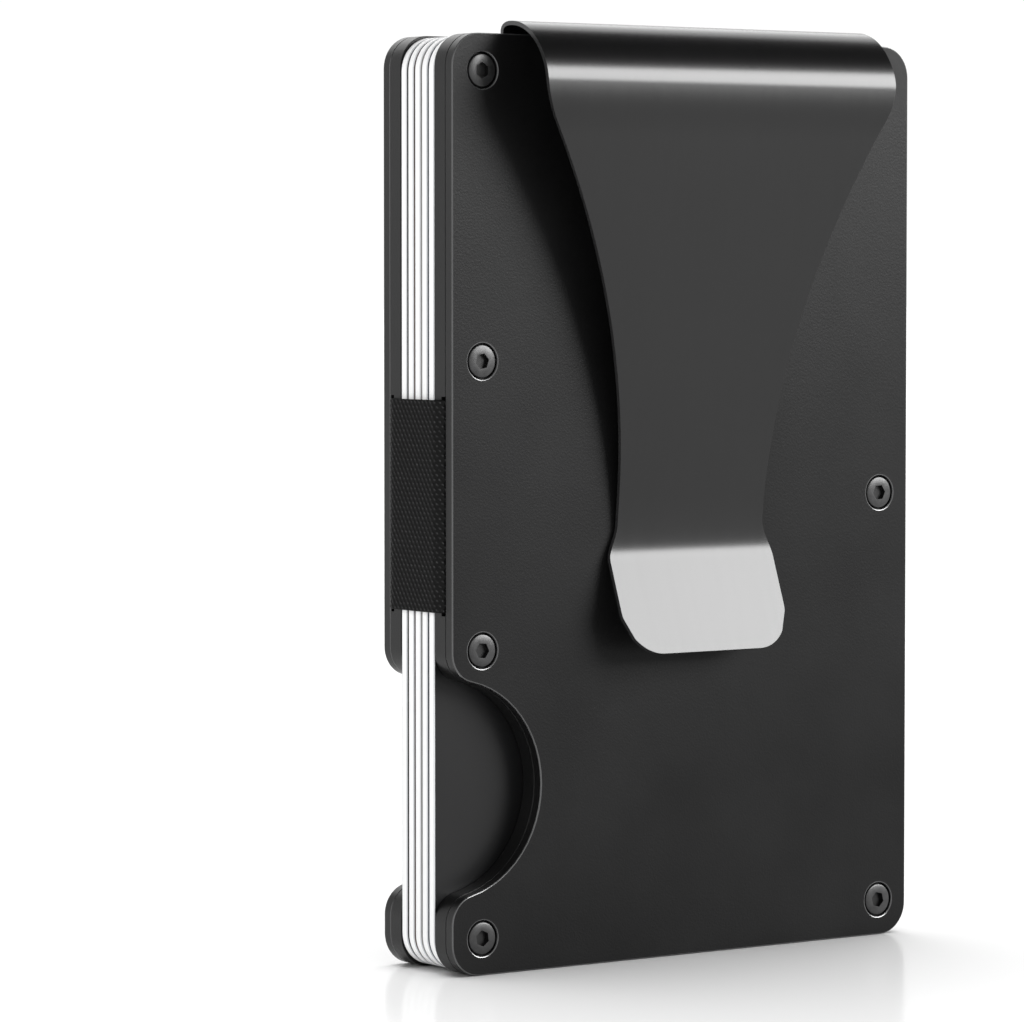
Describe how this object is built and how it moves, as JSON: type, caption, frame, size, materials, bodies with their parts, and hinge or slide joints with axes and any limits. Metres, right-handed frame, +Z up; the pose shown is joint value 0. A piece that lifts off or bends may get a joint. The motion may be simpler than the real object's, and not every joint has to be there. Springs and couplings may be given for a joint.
{
  "type": "minimalist wallet",
  "caption": "Slim metal card wallet standing on its short edge: two screwed plate sides round a stack of cards, elastic bands, a thumb notch and a spring-steel money clip.",
  "frame": {"origin": "on the ground under the middle of the wallet's box, as it stands on one short edge", "axes": "+Z up along the wallet's length; -Y is the front, where the money clip is; +X is the open long side, where cards slide out"},
  "size_m": [0.055, 0.0168, 0.0872],
  "materials": {
    "anodised_plate": "bead-blasted and anodised matte black",
    "black_screw": "black oxide, satin",
    "clip_steel": "satin black spring steel",
    "elastic_knit": "black woven elastic",
    "card_plastic": "white card core with a dark printed front"
  },
  "bodies": {
    "back_side": {"back_outer_plate": "anodised_plate", "back_inner_plate": "anodised_plate", "back_screw_1": "black_screw", "back_screw_2": "black_screw", "back_screw_3": "black_screw", "back_screw_4": "black_screw", "back_screw_5": "black_screw", "back_screw_6": "black_screw", "back_screw_7": "black_screw", "side_elastic": "elastic_knit", "top_elastic": "elastic_knit"},
    "front_side": {"front_outer_plate": "anodised_plate", "front_inner_plate": "anodised_plate", "front_screw_1": "black_screw", "front_screw_2": "black_screw", "front_screw_3": "black_screw", "front_screw_4": "black_screw", "front_screw_5": "black_screw", "front_screw_6": "black_screw", "front_screw_7": "black_screw", "clip_tongue": "clip_steel"},
    "clip": {"clip_arm": "clip_steel"},
    "card_1": {"card_1": "card_plastic"},
    "card_2": {"card_2": "card_plastic"},
    "card_3": {"card_3": "card_plastic"},
    "card_4": {"card_4": "card_plastic"},
    "card_5": {"card_5": "card_plastic"}
  },
  "joints": [
    {"name": "front_side_spread", "type": "slide", "parent": "back_side", "child": "front_side", "axis": [0, -1, 0], "range_m": [0, 0.0056], "stiffness_N_per_m": 900, "springref_m": -0.004, "deforming": ["side_elastic", "top_elastic"]},
    {"name": "clip_flex", "type": "hinge", "parent": "front_side", "child": "clip", "pos_m": [0.00047, -0.00825, 0.0817], "axis": [-1, 0, 0], "range_deg": [0, 6], "stiffness_Nm_per_rad": 0.6, "springref_deg": -1.72},
    {"name": "card_1_slide", "type": "slide", "parent": "back_side", "child": "card_1", "axis": [1, 0, 0], "range_m": [0, 0.056]},
    {"name": "card_2_slide", "type": "slide", "parent": "back_side", "child": "card_2", "axis": [1, 0, 0], "range_m": [0, 0.056]},
    {"name": "card_3_slide", "type": "slide", "parent": "back_side", "child": "card_3", "axis": [1, 0, 0], "range_m": [0, 0.056]},
    {"name": "card_4_slide", "type": "slide", "parent": "back_side", "child": "card_4", "axis": [1, 0, 0], "range_m": [0, 0.056]},
    {"name": "card_5_slide", "type": "slide", "parent": "back_side", "child": "card_5", "axis": [1, 0, 0], "range_m": [0, 0.056]}
  ]
}
